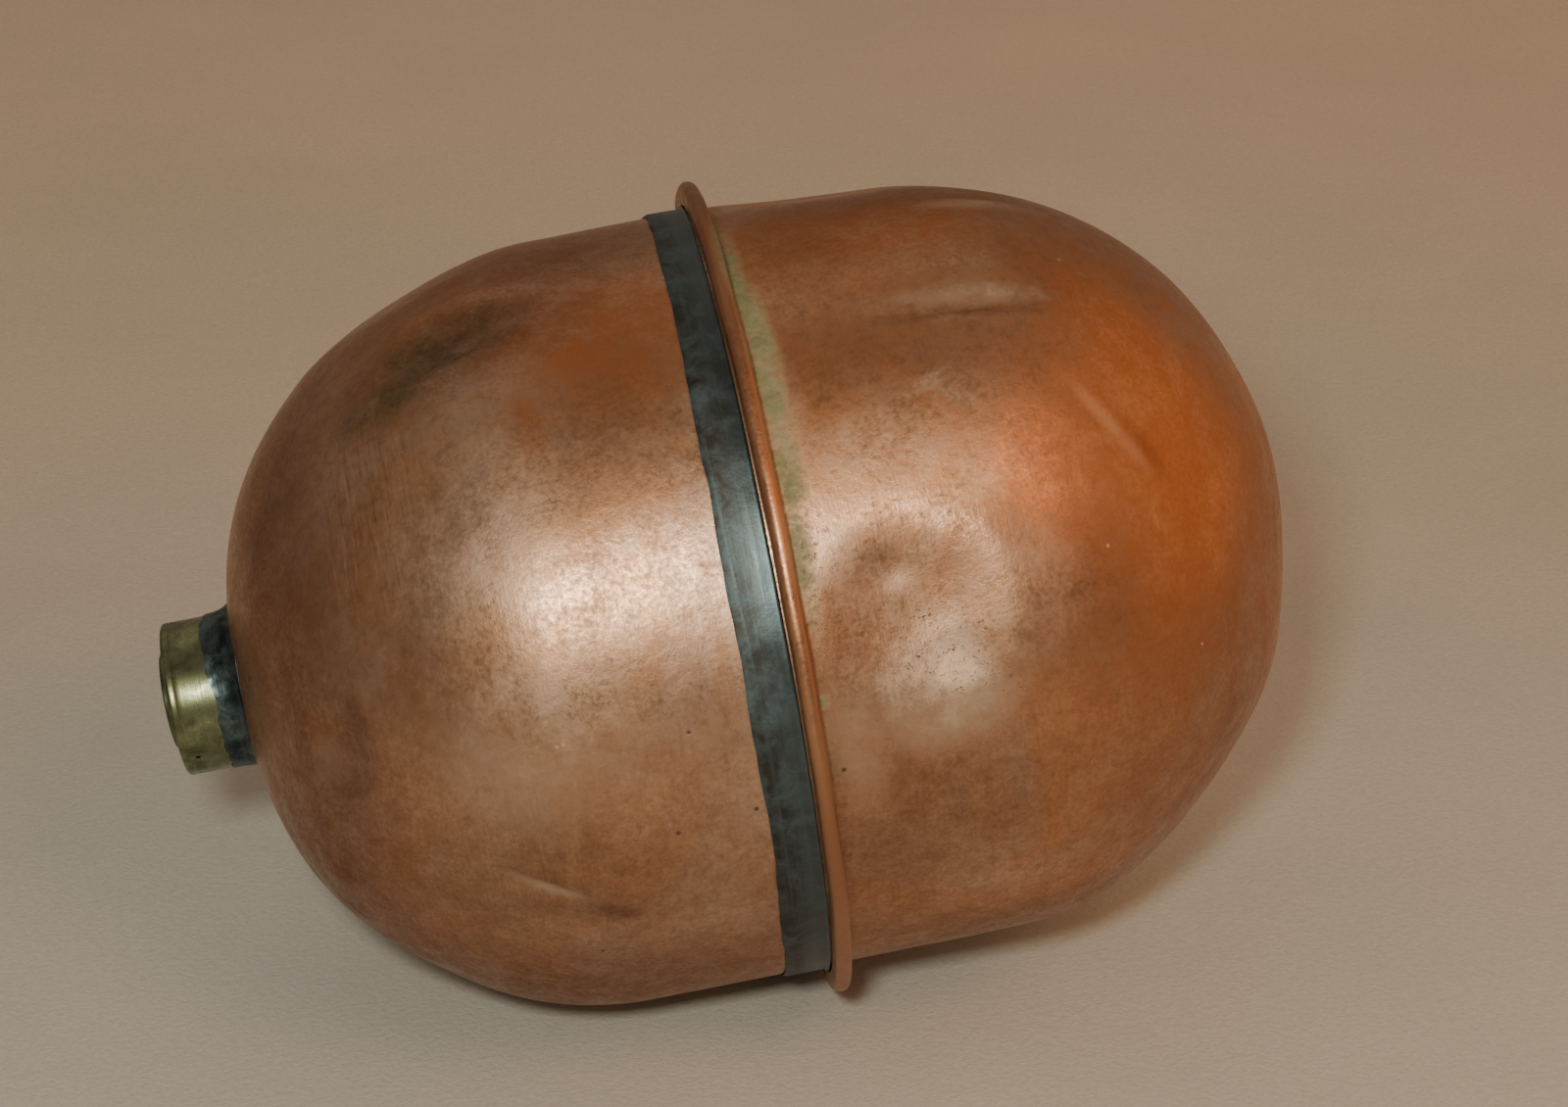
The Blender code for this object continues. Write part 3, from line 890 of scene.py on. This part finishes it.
cloth_length = 1500 * mm
cloth_width = 2200 * mm
cloth_shift = 150 * mm
rumple_height = 0.9 * mm
flat_centre = Vector((-20 * mm, 0, 0))
flat_radius = 50 * mm
flat_fade = 80 * mm
floor_shape = bmesh.new()
bmesh.ops.create_grid(floor_shape, x_segments=180, y_segments=240, size=0.5)
for vert in floor_shape.verts:
    along = cloth_length * vert.co.x + cloth_shift
    across = cloth_width * vert.co.y + cloth_shift
    vert.co = (along, across, 0)
    away = max(0.0, (vert.co - flat_centre).length - flat_radius)
    rumple = noise.noise(vert.co * 9) + 0.4 * noise.noise(vert.co * 31)
    vert.co.z = rumple_height * rumple * min(1.0, away / flat_fade)
floor_shape.transform(Matrix.Translation(touch) @ lean)
floor_mesh = bpy.data.meshes.new("cloth")
floor_shape.to_mesh(floor_mesh)
floor_shape.free()
floor_mesh.shade_smooth()

cloth, tree, surface, place = metal("pale_cloth", 0.0)
nap = cloudy(tree, place, 900, 5, 0.7)
wash = cloudy(tree, place, 14, 4, 0.6)
toward_back = node(tree, "ShaderNodeSeparateXYZ", {0: place}).outputs["Y"]
# Painted light: the cool front colour and the paler, warmer back colour stand in for the lamps.
cool_painted_light = blend(tree, between(tree, wash, 0.35, 0.7), (0.58, 0.60, 0.60), (0.64, 0.64, 0.62))
warm_painted_light = blend(tree, between(tree, wash, 0.35, 0.7), (0.82, 0.70, 0.58), (0.88, 0.74, 0.60))
colour = blend(tree, between(tree, toward_back, 0.0, 0.5), cool_painted_light, warm_painted_light)
colour = blend(tree, between(tree, nap, 0.35, 0.7, 0, 0.35), colour, (0.45, 0.42, 0.38))
tree.links.new(colour, surface.inputs["Base Color"])
surface.inputs["Roughness"].default_value = 0.9
raise_grain(tree, surface, nap, 0.5 * mm, 0.6)
floor_mesh.materials.append(cloth)
floor = bpy.data.objects.new("cloth", floor_mesh)
bpy.context.scene.collection.objects.link(floor)


# --- Camera -----------------------------------------------------------------------------
# A long lens looks down on the float from the front, and a little from the boss's side.

elevation = 25.5
heading = -8.4
distance = 563 * mm
aim_right = 3.92 * mm
aim_up = 5.55 * mm
camera_turn = (
    lean
    @ Matrix.Rotation(math.radians(heading), 4, "Z")
    @ Matrix.Rotation(math.radians(90 - elevation), 4, "X")
)
camera_right = camera_turn @ Vector((1, 0, 0))
camera_up = camera_turn @ Vector((0, 1, 0))
camera_back = camera_turn @ Vector((0, 0, 1))
aim = Vector((seam_x, 0, 0)) + camera_right * aim_right + camera_up * aim_up
eye = aim + camera_back * distance
lens = bpy.data.cameras.new("camera")
lens.lens = 77.6
lens.sensor_width = 36
camera = bpy.data.objects.new("camera", lens)
camera.matrix_world = Matrix.Translation(eye) @ camera_turn
bpy.context.scene.collection.objects.link(camera)
bpy.context.scene.camera = camera


# --- Light ------------------------------------------------------------------------------
# A small soft light just over the camera, a broad amber lamp low on the right with a smaller
# one in front of it, a weak one for the table behind, and the warm glow of a dim room.


def area_light(name, place, target, size, power, colour):
    """A square soft light that faces its target, this wide in metres and strong in watts."""
    lamp = bpy.data.lights.new(name, "AREA")
    lamp.size = size
    lamp.energy = power
    lamp.color = colour
    light = bpy.data.objects.new(name, lamp)
    light.matrix_world = (
        Matrix.Translation(place) @ (place - target).to_track_quat("Z", "Y").to_matrix().to_4x4()
    )
    bpy.context.scene.collection.objects.link(light)
    return light


middle = Vector((seam_x, 0, 0))
key_place = eye + camera_up * 50 * mm - camera_right * 45 * mm
area_light("key", key_place, middle, 50 * mm, 1.75, (1.0, 0.95, 0.75))
glow_place = middle + Vector((0.44, -0.62, 0.63)) * 0.9
area_light("glow", glow_place, middle, 0.3, 1.3, (1.0, 0.42, 0.14))
side_place = middle + Vector((0.93, -0.05, 0.20)) * 1.2
area_light("side_lamp", side_place, middle, 1.3, 3.7, (1.0, 0.48, 0.16))
back_place = middle + Vector((0.0, 0.65, 0.8))
table_behind = middle + Vector((0.0, 0.5, -0.07))
area_light("back_lamp", back_place, table_behind, 1.0, 0.7, (1.0, 0.84, 0.66))

room = bpy.data.worlds.new("room")
room.use_nodes = True
room.node_tree.nodes["Background"].inputs["Color"].default_value = (0.36, 0.29, 0.215, 1.0)
room.node_tree.nodes["Background"].inputs["Strength"].default_value = 0.62
bpy.context.scene.world = room
